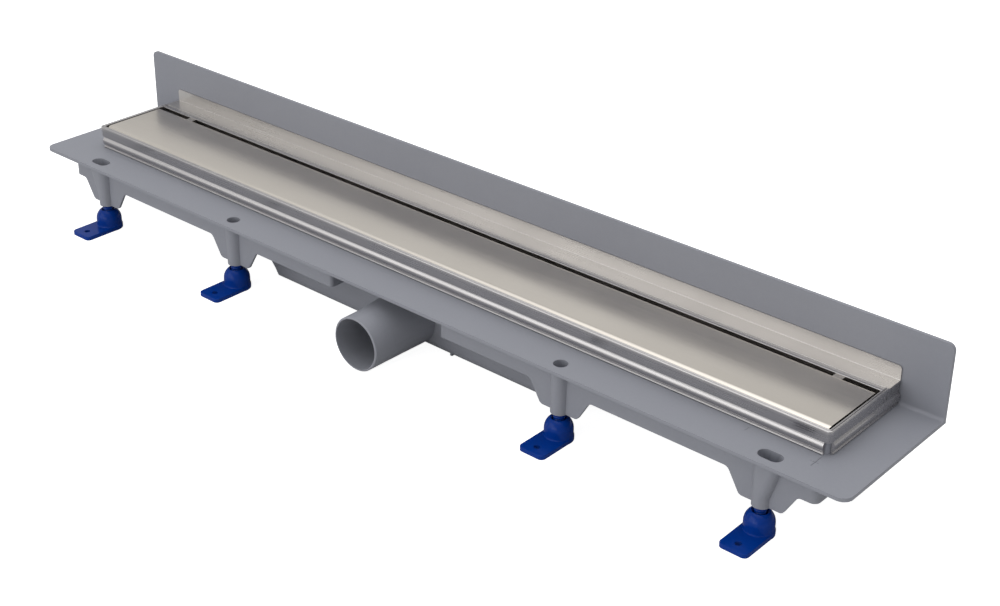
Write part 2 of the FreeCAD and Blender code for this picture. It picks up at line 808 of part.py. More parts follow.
def makeHairStrainer():
    upper = strainerLine(0)
    lower = list(reversed(strainerLine(strainerSheet)))
    plate = frontPrism(upper + lower, strainerFront, strainerBack)
    end = strainerLength / 2
    low = strainerCrownTop - strainerDrop
    feet = []
    margin = troughRadius
    for y0, y1 in ((strainerFront + margin, strainerFront + margin + strainerFoot),
                   (strainerBack - margin - strainerFoot, strainerBack - margin)):
        foot = block(end - strainerFoot, y0, troughFloorAt(end), end, y1, low - strainerSheet / 2)
        feet += bothEnds(foot)
    slots = []
    flatStart = strainerCrownLength / 2 + strainerShoulder + strainerSlotPitch
    flatCount = int((end - strainerFoot - flatStart) / strainerSlotPitch)
    crownCount = int((strainerCrownLength / 2 - strainerSlotPitch) / strainerSlotPitch)
    places = [flatStart + index * strainerSlotPitch for index in range(flatCount)]
    places += [(index + 0.5) * strainerSlotPitch for index in range(crownCount)]
    for x in places:
        slot = block(x - strainerSlotWidth / 2, strainerFront + strainerSlotMargin, -sumpDrop,
                     x + strainerSlotWidth / 2, strainerBack - strainerSlotMargin, deckHeight)
        slots += bothEnds(slot)
    return joined([plate] + feet).cut(slots)


# Every node, moved from the working frame to the part's own frame

def placed(shape, x=0.0, y=0.0):
    moved = shape.copy()
    moved.translate(Vector(x, y + overallDepth / 2 - collarBack, flangeHeight))
    return moved


def makeNodes():
    nodes = {
        "channel_body": placed(makeChannelBody()),
        "frame_strip": placed(makeFrameStrip()),
        "rear_rail": placed(makeRearRail()),
        "wall_angle": placed(makeWallAngle()),
        "cover_plate": placed(makeCoverPlate()),
        "trap_bell": placed(makeTrapBell()),
        "trap_seal": placed(makeTrapSeal()),
        "hair_strainer": placed(makeHairStrainer())}
    foot = makeFoot()
    spindle = makeSpindle()
    for row, y in (("front", frontBossLine), ("rear", rearBossLine)):
        for number, (x, isEnd) in enumerate(bossPlaces(), start=1):
            nodes[f"foot_{row}_{number}"] = placed(foot, x, y)
            nodes[f"spindle_{row}_{number}"] = placed(spindle, x, y)
    return nodes


os.makedirs("parts", exist_ok=True)
for name, shape in makeNodes().items():
    if len(shape.Solids) == 1:
        shape = shape.Solids[0]
    box = shape.BoundBox
    print(f"{name}: valid {shape.isValid()}, solids {len(shape.Solids)}, "
          f"volume {shape.Volume / 1000:.2f} cm3, "
          f"x {box.XMin:.1f} {box.XMax:.1f}, y {box.YMin:.1f} {box.YMax:.1f}, "
          f"z {box.ZMin:.1f} {box.ZMax:.1f}")
    shape.exportStep(f"parts/{name}.step")
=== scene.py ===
import json
import math
import bpy
import bmesh
from mathutils import Matrix, Vector


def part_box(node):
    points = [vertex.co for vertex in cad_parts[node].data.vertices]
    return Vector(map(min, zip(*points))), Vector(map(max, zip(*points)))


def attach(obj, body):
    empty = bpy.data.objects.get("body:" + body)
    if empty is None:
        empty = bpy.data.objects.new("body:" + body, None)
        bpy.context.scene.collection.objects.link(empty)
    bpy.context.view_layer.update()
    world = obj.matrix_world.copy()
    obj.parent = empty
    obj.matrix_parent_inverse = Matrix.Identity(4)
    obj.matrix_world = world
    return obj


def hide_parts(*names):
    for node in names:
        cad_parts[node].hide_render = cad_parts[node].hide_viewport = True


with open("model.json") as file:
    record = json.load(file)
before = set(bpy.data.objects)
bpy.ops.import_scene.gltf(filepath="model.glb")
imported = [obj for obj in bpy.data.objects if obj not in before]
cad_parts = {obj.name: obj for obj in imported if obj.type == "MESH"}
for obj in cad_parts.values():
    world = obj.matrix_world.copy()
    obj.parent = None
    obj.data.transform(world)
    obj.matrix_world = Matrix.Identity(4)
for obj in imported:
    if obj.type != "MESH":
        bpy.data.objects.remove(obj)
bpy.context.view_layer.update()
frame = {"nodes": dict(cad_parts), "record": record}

nodes = frame["nodes"]

# sizes below are in millimetres from mid-length, the steel frame's front face and the flange's top
mm = 0.001
steelFront = -0.02085
flangeTop = 0.069


def place(x, y, z):
    return Vector((x * mm, y * mm + steelFront, z * mm + flangeTop))


# node tools, used by every material

def newMaterial(name):
    material = bpy.data.materials.new(name)
    material.use_nodes = True
    tree = material.node_tree
    tree.nodes.clear()
    output = tree.nodes.new("ShaderNodeOutputMaterial")
    shader = tree.nodes.new("ShaderNodeBsdfPrincipled")
    tree.links.new(shader.outputs["BSDF"], output.inputs["Surface"])
    return material, tree, shader


def newGroup(name, inputs, outputs):
    group = bpy.data.node_groups.new(name, "ShaderNodeTree")
    for label, kind, value in inputs:
        socket = group.interface.new_socket(name=label, in_out="INPUT", socket_type=kind)
        socket.default_value = value
    for label, kind in outputs:
        group.interface.new_socket(name=label, in_out="OUTPUT", socket_type=kind)
    start = group.nodes.new("NodeGroupInput")
    end = group.nodes.new("NodeGroupOutput")
    return group, start, end


def addNode(tree, kind, **settings):
    node = tree.nodes.new(kind)
    for key, value in settings.items():
        setattr(node, key, value)
    return node


def fill(tree, socket, value):
    if isinstance(value, bpy.types.NodeSocket):
        tree.links.new(value, socket)
    else:
        socket.default_value = value


def addMath(tree, operation, a, b, clamp=False):
    node = addNode(tree, "ShaderNodeMath", operation=operation, use_clamp=clamp)
    fill(tree, node.inputs[0], a)
    fill(tree, node.inputs[1], b)
    return node.outputs[0]


def addMix(tree, factor, colorA, colorB):
    node = addNode(tree, "ShaderNodeMix", data_type="RGBA")
    for index, value in ((0, factor), (6, colorA), (7, colorB)):
        if isinstance(value, tuple):
            value = (*value, 1.0)
        fill(tree, node.inputs[index], value)
    return node.outputs[2]


def addNoise(tree, vector, scale, detail, roughness):
    noise = addNode(tree, "ShaderNodeTexNoise")
    tree.links.new(vector, noise.inputs["Vector"])
    fill(tree, noise.inputs["Scale"], scale)
    noise.inputs["Detail"].default_value = detail
    noise.inputs["Roughness"].default_value = roughness
    return noise.outputs["Fac"]


def addRange(tree, value, fromLow, fromHigh, toLow, toHigh):
    node = addNode(tree, "ShaderNodeMapRange")
    tree.links.new(value, node.inputs["Value"])
    for label, number in (("From Min", fromLow), ("From Max", fromHigh),
                          ("To Min", toLow), ("To Max", toHigh)):
        fill(tree, node.inputs[label], number)
    return node.outputs["Result"]


def placeGroup(tree, group, **values):
    node = addNode(tree, "ShaderNodeGroup")
    node.node_tree = group
    for label, value in values.items():
        fill(tree, node.inputs[label], value)
    return node


# the usual spread of a noise, noise scales per metre, and the depth of the reliefs in metres
spread = (0.3, 0.7)
noiseScales = {"cloud": 14.0, "flow": 9.0, "speck": 420.0}
grainDepth = 0.00005
peelDepth = 0.0002


# brushed grain: long fine lines along X, as a roughness value and a height

def makeBrushGroup():
    group, start, end = newGroup(
        "brushedGrain",
        [("Fineness", "NodeSocketFloat", 900.0), ("Stretch", "NodeSocketFloat", 60.0),
         ("Smooth", "NodeSocketFloat", 0.16), ("Rough", "NodeSocketFloat", 0.26)],
        [("Roughness", "NodeSocketFloat"), ("Height", "NodeSocketFloat")])
    spot = addNode(group, "ShaderNodeTexCoord").outputs["Object"]
    split = addNode(group, "ShaderNodeSeparateXYZ")
    group.links.new(spot, split.inputs[0])
    join = addNode(group, "ShaderNodeCombineXYZ")
    along = addMath(group, "DIVIDE", split.outputs["X"], start.outputs["Stretch"])
    group.links.new(along, join.inputs["X"])
    group.links.new(split.outputs["Y"], join.inputs["Y"])
    group.links.new(split.outputs["Z"], join.inputs["Z"])
    lines = addNoise(group, join.outputs[0], start.outputs["Fineness"], 3.0, 0.6)
    cloud = addNoise(group, spot, noiseScales["cloud"], 3.0, 0.5)
    rough = addRange(group, lines, *spread, start.outputs["Smooth"], start.outputs["Rough"])
    drift = addRange(group, cloud, *spread, 0.9, 1.12)
    group.links.new(addMath(group, "MULTIPLY", rough, drift), end.inputs["Roughness"])
    group.links.new(lines, end.inputs["Height"])
    return group


# moulded skin: faint flow shades, small specks and a fine orange peel

def makeMouldGroup():
    group, start, end = newGroup(
        "mouldedSkin",
        [("Base", "NodeSocketColor", (0.3, 0.3, 0.3, 1.0)),
         ("Pale", "NodeSocketColor", (0.4, 0.4, 0.4, 1.0)),
         ("Smooth", "NodeSocketFloat", 0.35), ("Rough", "NodeSocketFloat", 0.5),
         ("Peel", "NodeSocketFloat", 900.0)],
        [("Color", "NodeSocketColor"), ("Roughness", "NodeSocketFloat"),
         ("Height", "NodeSocketFloat")])
    spot = addNode(group, "ShaderNodeTexCoord").outputs["Object"]
    flow = addNoise(group, spot, noiseScales["flow"], 4.0, 0.55)
    speck = addNoise(group, spot, noiseScales["speck"], 2.0, 0.5)
    peel = addNoise(group, spot, start.outputs["Peel"], 2.0, 0.5)
    shade = addRange(group, flow, *spread, 0.0, 0.75)
    fine = addRange(group, speck, 0.35, 0.65, 0.0, 0.25)
    amount = addMath(group, "ADD", shade, fine, clamp=True)
    color = addMix(group, amount, start.outputs["Base"], start.outputs["Pale"])
    group.links.new(color, end.inputs["Color"])
    rough = addRange(group, flow, *spread, start.outputs["Smooth"], start.outputs["Rough"])
    group.links.new(rough, end.inputs["Roughness"])
    group.links.new(peel, end.inputs["Height"])
    return group


# relief: a bump from the height, over a small shading round on the edges where one is given

def reliefNormal(tree, height, strength, distance, edge=0.0):
    bump = addNode(tree, "ShaderNodeBump")
    bump.inputs["Strength"].default_value = strength
    bump.inputs["Distance"].default_value = distance
    tree.links.new(height, bump.inputs["Height"])
    if edge > 0:
        bevel = addNode(tree, "ShaderNodeBevel", samples=4)
        bevel.inputs["Radius"].default_value = edge
        tree.links.new(bevel.outputs["Normal"], bump.inputs["Normal"])
    return bump.outputs["Normal"]


brushGroup = makeBrushGroup()
mouldGroup = makeMouldGroup()
print("node groups ready")


# materials

channelPlastic = {"base": (0.270, 0.278, 0.314), "pale": (0.290, 0.298, 0.334), "smooth": 0.38,
                  "rough": 0.48, "peel": 1100.0, "edge": 0.0006, "relief": 0.12, "specular": 0.28}
footPlastic = {"base": (0.0003, 0.029, 0.225), "pale": (0.0005, 0.038, 0.275), "smooth": 0.12,
               "rough": 0.20, "peel": 500.0, "edge": 0.0005, "relief": 0.06, "specular": 0.16}
trapPlastic = {"base": (0.62, 0.63, 0.63), "pale": (0.68, 0.69, 0.69), "smooth": 0.28,
               "rough": 0.40, "peel": 900.0, "edge": 0.0004, "relief": 0.10, "specular": 0.5}
sealRubber = {"base": (0.016, 0.016, 0.017), "pale": (0.026, 0.026, 0.027), "smooth": 0.55,
              "rough": 0.72, "peel": 1500.0, "edge": 0.0003, "relief": 0.25, "specular": 0.4}
stripSteel = {"base": (0.50, 0.487, 0.49), "pale": (0.54, 0.525, 0.525), "fineness": 1100.0,
              "stretch": 70.0, "smooth": 0.25, "rough": 0.31, "relief": 0.003}
angleSteel = {"base": (0.60, 0.58, 0.56), "pale": (0.62, 0.60, 0.58), "fineness": 1300.0,
              "stretch": 80.0, "smooth": 0.27, "rough": 0.31, "relief": 0.002}
coverSteel = {"base": (0.69, 0.645, 0.585), "pale": (0.73, 0.685, 0.625), "fineness": 1500.0,
              "stretch": 90.0, "smooth": 0.18, "rough": 0.24, "relief": 0.03}
brushedTurn = 0.35


def makeMoulded(name, look):
    material, tree, shader = newMaterial(name)
    shader.inputs["Specular IOR Level"].default_value = look["specular"]
    skin = placeGroup(tree, mouldGroup, Base=(*look["base"], 1.0), Pale=(*look["pale"], 1.0),
                      Smooth=look["smooth"], Rough=look["rough"], Peel=look["peel"])
    tree.links.new(skin.outputs["Color"], shader.inputs["Base Color"])
    tree.links.new(skin.outputs["Roughness"], shader.inputs["Roughness"])
    normal = reliefNormal(tree, skin.outputs["Height"], look["relief"], peelDepth, look["edge"])
    tree.links.new(normal, shader.inputs["Normal"])
    return material


def makeBrushed(name, look):
    material, tree, shader = newMaterial(name)
    shader.inputs["Metallic"].default_value = 1.0
    shader.inputs["Anisotropic"].default_value = brushedTurn
    grain = placeGroup(tree, brushGroup, Fineness=look["fineness"], Stretch=look["stretch"],
                       Smooth=look["smooth"], Rough=look["rough"])
    tone = addRange(tree, grain.outputs["Height"], *spread, 0.0, 1.0)
    color = addMix(tree, tone, look["base"], look["pale"])
    tree.links.new(color, shader.inputs["Base Color"])
    tree.links.new(grain.outputs["Roughness"], shader.inputs["Roughness"])
    normal = reliefNormal(tree, grain.outputs["Height"], look["relief"], grainDepth)
    tree.links.new(normal, shader.inputs["Normal"])
    return material


finishes = {
    "channel_plastic": makeMoulded("channelPlasticSkin", channelPlastic),
    "foot_plastic": makeMoulded("footPlasticSkin", footPlastic),
    "spindle_plastic": makeMoulded("spindlePlasticSkin", footPlastic),
    "trap_plastic": makeMoulded("trapPlasticSkin", trapPlastic),
    "seal_rubber": makeMoulded("sealRubberSkin", sealRubber),
    "frame_steel": makeBrushed("angleSteelSkin", angleSteel),
    "cover_steel": makeBrushed("coverSteelSkin", coverSteel)}
stripFinish = makeBrushed("stripSteelSkin", stripSteel)
for part in frame["record"]["subparts"]:
    for slot in nodes[part["node"]].material_slots:
        slot.material = finishes[part["material_slot"]]
print("materials ready")


# shapes are pairs of points and faces, joined into one mesh for each piece

def rounded(corners, steps=5):
    # closed outline through (a, b, radius) corners
    outline = []
    for index, (a, b, radius) in enumerate(corners):
        corner = Vector((a, b))
        if radius == 0:
            outline.append((a, b))
            continue
        toBefore = (Vector(corners[index - 1][:2]) - corner).normalized()
        toAfter = (Vector(corners[(index + 1) % len(corners)][:2]) - corner).normalized()
        half = toBefore.angle(toAfter) / 2
        centre = corner + (toBefore + toAfter).normalized() * (radius / math.sin(half))
        spoke = corner + toBefore * (radius / math.tan(half)) - centre
        turn = math.pi - 2 * half
        if toBefore.x * toAfter.y - toBefore.y * toAfter.x > 0:
            turn = -turn
        for step in range(steps + 1):
            spot = centre + Matrix.Rotation(turn * step / steps, 2) @ spoke
            outline.append((spot.x, spot.y))
    return outline


def arc(centre, radius, fromTurn, toTurn, steps):
    spots = []
    for step in range(steps + 1):
        turn = math.radians(fromTurn + (toTurn - fromTurn) * step / steps)
        spots.append((centre[0] + radius * math.cos(turn), centre[1] + radius * math.sin(turn)))
    return spots


def circle(centre, radius, steps):
    return arc(centre, radius, 0, 360 - 360 / steps, steps - 1)


def aboutAxis(a, b, level):
    return Vector((a, b, level)) * mm


def inPlan(a, b, level):
    return place(a, b, level)


def inFront(a, b, depth):
    return place(a, depth, b)


def inSection(a, b, along):
    return place(along, a, b)


def prism(outline, lift, low, high):
    count = len(outline)
    points = [lift(a, b, low) for a, b in outline] + [lift(a, b, high) for a, b in outline]
    faces = [tuple(range(count)), tuple(range(2 * count - 1, count - 1, -1))]
    for index in range(count):
        after = (index + 1) % count
        faces.append((index, count + index, count + after, after))
    return points, faces


def block(x0, y0, z0, x1, y1, z1):
    return prism([(x0, y0), (x1, y0), (x1, y1), (x0, y1)], inPlan, z0, z1)


def swept(outline, stations):
    # an (outward, up) outline carried along stations of (x, y, outward x, outward y)
    count = len(outline)
    points = []
    faces = []
    for x, y, outX, outY in stations:
        points += [place(x + outX * out, y + outY * out, up) for out, up in outline]
    for ring in range(len(stations) - 1):
        for index in range(count):
            after = (index + 1) % count
            near = ring * count
            faces.append((near + index, near + after, near + count + after, near + count + index))
    faces.append(tuple(range(count)))
    faces.append(tuple(range(len(points) - 1, len(points) - count - 1, -1)))
    return points, faces


def lathed(profile, steps):
    # (radius, level) places turned about the upright axis, level from the floor
    points = []
    rings = []
    for radius, level in profile:
        if radius == 0:
            rings.append([len(points)] * steps)
            points.append(Vector((0, 0, level * mm)))
            continue
        rings.append(list(range(len(points), len(points) + steps)))
        for step in range(steps):
            turn = 2 * math.pi * step / steps
            points.append(Vector((radius * math.cos(turn), radius * math.sin(turn), level)) * mm)
    faces = []
    for lower, upper in zip(rings, rings[1:]):
        for step in range(steps):
            after = (step + 1) % steps
            face = [lower[step], lower[after], upper[after], upper[step]]
            faces.append(tuple(dict.fromkeys(face)))
    return points, faces


def together(*shapes):
    points = []
    faces = []
    for morePoints, moreFaces in shapes:
        start = len(points)
        points += morePoints
        faces += [tuple(start + index for index in face) for face in moreFaces]
    return points, faces


def mirrored(shape):
    points, faces = shape
    return [Vector((-p.x, p.y, p.z)) for p in points], [tuple(reversed(face)) for face in faces]


def toMesh(name, shape):
    mesh = bpy.data.meshes.new(name)
    mesh.from_pydata(shape[0], [], shape[1])
    form = bmesh.new()
    form.from_mesh(mesh)
    bmesh.ops.recalc_face_normals(form, faces=form.faces)
    form.to_mesh(mesh)
    form.free()
    return mesh


def carved(mesh, cutter, operation="DIFFERENCE"):
    body = bpy.data.objects.new("blank", mesh)
    tool = bpy.data.objects.new("cutter", toMesh("cutter", cutter))
    for item in (body, tool):
        bpy.context.scene.collection.objects.link(item)
    cut = body.modifiers.new("cut", "BOOLEAN")
    cut.object = tool
    cut.operation = operation
    cut.solver = "EXACT"
    cut.use_self = True
    bpy.context.view_layer.update()
    shaped = bpy.data.meshes.new_from_object(body.evaluated_get(bpy.context.evaluated_depsgraph_get()))
    for item in (body, tool):
        bpy.data.objects.remove(item)
    return shaped


def merged(mesh, *others):
    form = bmesh.new()
    for item in (mesh, *others):
        form.from_mesh(item)
    form.to_mesh(mesh)
    form.free()
    return mesh


smoothUnder = math.radians(32)


def finished(mesh, finish):
    mesh.shade_smooth()
    mesh.set_sharp_from_angle(angle=smoothUnder)
    mesh.materials.clear()
    mesh.materials.append(finish)
    return mesh


def addPiece(name, mesh, body, node=None):
    piece = bpy.data.objects.new(name, mesh)
    bpy.context.scene.collection.objects.link(piece)
    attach(piece, body)
    if node:
        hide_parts(node)
    return piece


# steel strip round the front and both ends: lip, bead, flat band and hemmed rim

strip = {"half": 425.0, "corner": 3.2, "back": 99.5, "rimBack": 82.45, "sheet": 1.2,
         "lipBottom": 0.3, "lip": 0.6, "lipProud": 0.3, "beadBottom": 2.6, "bead": 8.0,
         "beadProud": 1.8, "notch": 4.6, "notchTop": 10.9, "rimBottom": 17.4, "rimTop": 21.5,
         "rimProud": 0.6, "rimWidth": 3.6, "outerFold": 1.0, "innerFold": 0.75, "seatTop": 19.55,
         "pinHole": 1.3, "pinPlace": (80.6, 13.5), "pinReach": 2.0, "turnSteps": 8}


def stripLower():
    inner = -strip["sheet"]
    proud = strip["beadProud"]
    middle = strip["beadBottom"] + strip["bead"] / 2
    radius = ((strip["bead"] / 2) ** 2 + proud ** 2) / (2 * proud)
    reach = math.degrees(math.asin(strip["bead"] / 2 / radius))
    lipMiddle = strip["lipBottom"] + strip["lip"]
    outline = [(inner, strip["lipBottom"])]
    outline += arc((strip["lipProud"], lipMiddle), strip["lip"], -90, 90, 8)
    outline.append((0, lipMiddle + strip["lip"] + strip["lipProud"]))
    outline += arc((proud - radius, middle), radius, -reach, reach, 12)
    outline.append((0, strip["notchTop"]))
    outline.append((inner, strip["notchTop"]))
    return outline


def stripUpper():
    inner = -strip["sheet"]
    return [(0, strip["notchTop"]), (0, strip["rimBottom"]), (inner, strip["rimBottom"]),
            (inner, strip["notchTop"])]


def stripRim():
    # hem with its two folds side by side, and the groove between them
    proud, top = strip["rimProud"], strip["rimTop"]
    outer, inner = strip["outerFold"], strip["innerFold"]
    near = proud - strip["rimWidth"]
    outline = [(0, strip["rimBottom"]), (proud, strip["rimBottom"] + proud)]
    outline += arc((proud - outer, top - outer), outer, 0, 200, 14)
    outline += arc((near + inner, top - inner), inner, -20, 180, 12)
    outline.append((near, strip["rimBottom"]))
    return outline


def stripStations(back):
    half = strip["half"]
    turn = half - strip["corner"]
    stations = [(-half, back, -1, 0)]
    for side, fromTurn in ((-1, 180), (1, 270)):
        for step in range(strip["turnSteps"] + 1):
            heading = math.radians(fromTurn + 90 * step / strip["turnSteps"])
            outX, outY = math.cos(heading), math.sin(heading)
            stations.append((side * turn + strip["corner"] * outX,
                             strip["corner"] + strip["corner"] * outY, outX, outY))
    stations.append((half, back, 1, 0))
    return stations


def makeStrip():
    half, notch, back = strip["half"], strip["notch"], strip["back"]
    front = swept(stripLower(), [(notch - half, 0, 0, -1), (half - notch, 0, 0, -1)])
    end = swept(stripLower(), [(half, notch, 1, 0), (half, back, 1, 0)])
    seat = block(half - strip["sheet"], strip["rimBack"], strip["rimBottom"], half, back,
                 strip["seatTop"])
    shape = together(front, end, mirrored(end),
                     swept(stripRim(), stripStations(strip["rimBack"])), seat, mirrored(seat))
    reach = half + strip["pinReach"]
    pin = prism(circle(strip["pinPlace"], strip["pinHole"], 16), inSection, -reach, reach)
    band = carved(toMesh("stripBand", swept(stripUpper(), stripStations(back))), pin)
    mesh = finished(merged(toMesh("steelStrip", shape), band), stripFinish)
    addPiece("steelStrip", mesh, "channel", "frame_strip")


# rail behind the slot, an upside-down channel between the rims

rail = {"half": 421.8, "front": 77.2, "width": 4.9, "top": 20.75, "sheet": 1.2, "edge": 0.4}


def makeRail():
    front, back, top = rail["front"], rail["front"] + rail["width"], rail["top"]
    sheet = rail["sheet"]
    outline = rounded([(front, 0, 0), (front, top, rail["edge"]), (back, top, rail["edge"]),
                       (back, 0, 0), (back - sheet, 0, 0), (back - sheet, top - sheet, 0),
                       (front + sheet, top - sheet, 0), (front + sheet, 0, 0)])
    mesh = toMesh("slotRail", prism(outline, inSection, -rail["half"], rail["half"]))
    addPiece("slotRail", finished(mesh, stripFinish), "channel", "rear_rail")


# cover plate: nose, deck and rear leg folded from one sheet, with arches and two spacer tabs

cover = {"length": 840.8, "shift": -0.2, "front": 3.4, "back": 72.0, "top": 20.75, "sheet": 1.5,
         "nose": 6.3, "rearRadius": 2.0, "corner": 5.0, "rearCorner": 0.3, "arches": 8,
         "legWidth": 14.0, "archTop": 10.5, "archRadius": 4.0, "archDepth": 77.0, "tabWidth": 8.5,
         "tabDrop": 0.5, "leftTab": 45.8, "rightTab": 33.7, "tabEnd": 77.0, "over": 1.0}


def coverSection():
    front, back, top, sheet = cover["front"], cover["back"], cover["top"], cover["sheet"]
    nose, rear = cover["nose"], cover["rearRadius"]
    return rounded([(front, 0, 0), (front, top, nose), (back, top, rear), (back, 0, 0),
                    (back - sheet, 0, 0), (back - sheet, top - sheet, rear - sheet),
                    (front + sheet, top - sheet, nose - sheet), (front + sheet, 0, 0)], 10)


def coverArches(left):
    pitch = (cover["length"] - cover["legWidth"]) / cover["arches"]
    top, radius, under = cover["archTop"], cover["archRadius"], -cover["over"]
    openings = []
    for index in range(cover["arches"]):
        start = left + cover["legWidth"] + index * pitch
        end = start + pitch - cover["legWidth"]
        outline = rounded([(start, under, 0), (end, under, 0), (end, top, radius),
                           (start, top, radius)])
        openings.append(prism(outline, inFront, 0, cover["archDepth"]))
    return together(*openings)


def makeCover():
    front, back, top, sheet = cover["front"], cover["back"], cover["top"], cover["sheet"]
    left = cover["shift"] - cover["length"] / 2
    right = cover["shift"] + cover["length"] / 2
    mesh = toMesh("coverSheet", prism(coverSection(), inSection, left, right))
    plan = rounded([(left, front, cover["corner"]), (right, front, cover["corner"]),
                    (right, back, cover["rearCorner"]), (left, back, cover["rearCorner"])], 8)
    mesh = carved(mesh, prism(plan, inPlan, -cover["over"], top + cover["over"]), "INTERSECT")
    mesh = carved(mesh, coverArches(left))
    tabTop = top - cover["tabDrop"]
    for x in (left + cover["leftTab"], right - cover["rightTab"]):
        mesh = merged(mesh, toMesh("spacerTab", block(
            x - cover["tabWidth"] / 2, back - sheet, tabTop - sheet,
            x + cover["tabWidth"] / 2, cover["tabEnd"], tabTop)))
    mesh = finished(mesh, finishes["cover_steel"])
    addPiece("coverSheet", mesh, "channel", "cover_plate")


# channel moulding: the CAD body's mesh in a piece of its own, with its finer sizes drawn closer

collar = {"front": 98.0, "foot": 4.0, "cadTop": 66.9, "top": 65.4}
skirt = {"inner": 431.0, "outer": 440.0, "top": -2.9, "inset": 4.3}
bosses = {"places": (195.3, 388.0), "front": -26.0, "rear": 88.0, "boreTop": -30.9, "cadBore": 6.05,
          "bore": 5.05, "boreCatch": 0.2}
gusset = {"top": -24.0, "foot": -43.8, "topOut": 1.5, "footOut": 2.5, "from": 9.5, "to": 42.0,
          "halfSheet": 1.4, "catch": 0.1}
accessHole = {"cadTop": 7.0, "cadFoot": 6.35, "top": 6.1, "foot": 5.4, "depth": -31.0,
              "cadTravel": 10.0, "travel": 8.4, "travelFoot": 0.4, "catch": 0.25, "half": 7.3}
sump = {"front": 7.0, "back": 69.5, "floor": -67.0, "head": -29.4, "from": 150.0, "ease": 20.0,
        "out": 4.0, "cadSlope": 43.0, "slope": 33.0, "fullTo": 12.0, "noneFrom": 40.0}


def blend(a, b, share):
    return a + (b - a) * share


def outward(x, amount):
    return math.copysign(abs(x) + amount, x)


def drawCollar(z):
    share = (collar["top"] - collar["foot"]) / (collar["cadTop"] - collar["foot"])
    return collar["foot"] + (z - collar["foot"]) * share


def drawAccess(x, y, z, boss, isSlot):
    # the screwdriver's hole over a spindle, round or drawn outwards to a slot
    hole = accessHole
    depth = z / hole["depth"]
    cadRadius = blend(hole["cadTop"], hole["cadFoot"], depth)
    radius = blend(hole["top"], hole["foot"], depth)
    cadTravel = blend(hole["cadTravel"], hole["travelFoot"], depth) if isSlot else 0.0
    travel = blend(hole["travel"], hole["travelFoot"], depth) if isSlot else 0.0
    out, across = abs(x) - boss, y - bosses["front"]
    along = min(max(out, 0.0), cadTravel)
    if math.hypot(out - along, across) > cadRadius + hole["catch"]:
        return x, y
    share = along / cadTravel if isSlot else 0.0
    drawnOut = share * travel + (out - along) * radius / cadRadius
    return math.copysign(boss + drawnOut, x), bosses["front"] + across * radius / cadRadius


def drawGusset(x, z, boss):
    share = (gusset["top"] - z) / (gusset["top"] - gusset["foot"])
    wider = blend(gusset["topOut"], gusset["footOut"], min(1.0, max(0.0, share)))
    return outward(x, math.copysign(wider, abs(x) - boss))


def drawSump(x, y, z):
    # only the front of each end goes out: the rear feet's tabs lie beside its back
    rise = z - sump["floor"]
    flat, steep = math.tan(math.radians(sump["cadSlope"])), math.tan(math.radians(sump["slope"]))
    ease = min(1.0, (abs(x) - sump["from"]) / sump["ease"])
    ease *= min(1.0, max(0.0, (sump["noneFrom"] - y) / (sump["noneFrom"] - sump["fullTo"])))
    return outward(x, ease * (sump["out"] + rise * (steep - flat)))


def inAccess(out, across, z):
    half, travel = accessHole["half"], accessHole["cadTravel"]
    return z > bosses["boreTop"] and abs(across) < half and -half < out < half + travel


def inBore(out, across, z):
    return z <= bosses["boreTop"] and math.hypot(out, across) < bosses["cadBore"] + bosses["boreCatch"]


def inGusset(out, y, z):
    beside = min(abs(y - bosses["front"]), abs(y - bosses["rear"]))
    return (beside < gusset["halfSheet"] and z < gusset["top"] + gusset["catch"]
            and gusset["from"] < abs(out) < gusset["to"])


def drawMoulding(x, y, z):
    if y > collar["front"] and z > collar["foot"]:
        return x, y, drawCollar(z)
    if skirt["inner"] < abs(x) < skirt["outer"] and z < skirt["top"]:
        return outward(x, -skirt["inset"]), y, z
    for boss in bosses["places"]:
        out, across = abs(x) - boss, y - bosses["front"]
        if inAccess(out, across, z):
            return *drawAccess(x, y, z, boss, boss == max(bosses["places"])), z
        if inBore(out, across, z):
            share = bosses["bore"] / bosses["cadBore"]
            return math.copysign(boss + out * share, x), bosses["front"] + across * share, z
        if inGusset(out, y, z):
            return drawGusset(x, z, boss), y, z
    if sump["front"] < y < sump["back"] and z < sump["head"] and abs(x) > sump["from"]:
        return drawSump(x, y, z), y, z
    return x, y, z


def makeMoulding():
    mesh = nodes["channel_body"].data.copy()
    mesh.name = "channelMoulding"
    for vertex in mesh.vertices:
        x, y, z = vertex.co
        spot = drawMoulding(x / mm, (y - steelFront) / mm, (z - flangeTop) / mm)
        vertex.co = place(*spot)
    addPiece("channelMoulding", mesh, "channel", "channel_body")


# low ridges that the mould leaves on the flange, as (x0, y0, x1, y1)

mouldMarks = {"foot": -0.1, "top": 0.2, "ridges": (
    (420.6, -17.5, 421.2, -2.5), (417.0, -12.0, 424.0, -11.5), (358.6, -10.0, 359.1, -4.5))}


def makeMarks():
    ridges = [block(x0, y0, mouldMarks["foot"], x1, y1, mouldMarks["top"])
              for x0, y0, x1, y1 in mouldMarks["ridges"]]
    mesh = finished(toMesh("mouldMarks", together(*ridges)), finishes["channel_plastic"])
    addPiece("mouldMarks", mesh, "channel")


makeMoulding()
makeMarks()
makeStrip()
makeRail()
makeCover()
print("channel and steel pieces ready")


# screw feet, each at its own CAD node: a dome with a socket, on a plate with a tab

foot = {"dome": 12.2, "centre": 9.9, "crownStop": 2.0, "mouth": 19.8, "mouthRadius": 6.7,
        "throat": 4.6, "throatTop": 15.5, "throatBottom": 13.6, "socket": 6.08, "socketFloor": 6.92,
        "socketTop": 12.1, "plate": 4.0, "half": 12.8, "reach": 36.0, "corner": 4.5, "edge": 0.35,
        "hole": 2.75, "holeReach": 27.0, "drillBottom": -1.0, "drillTop": 10.0, "around": 64}
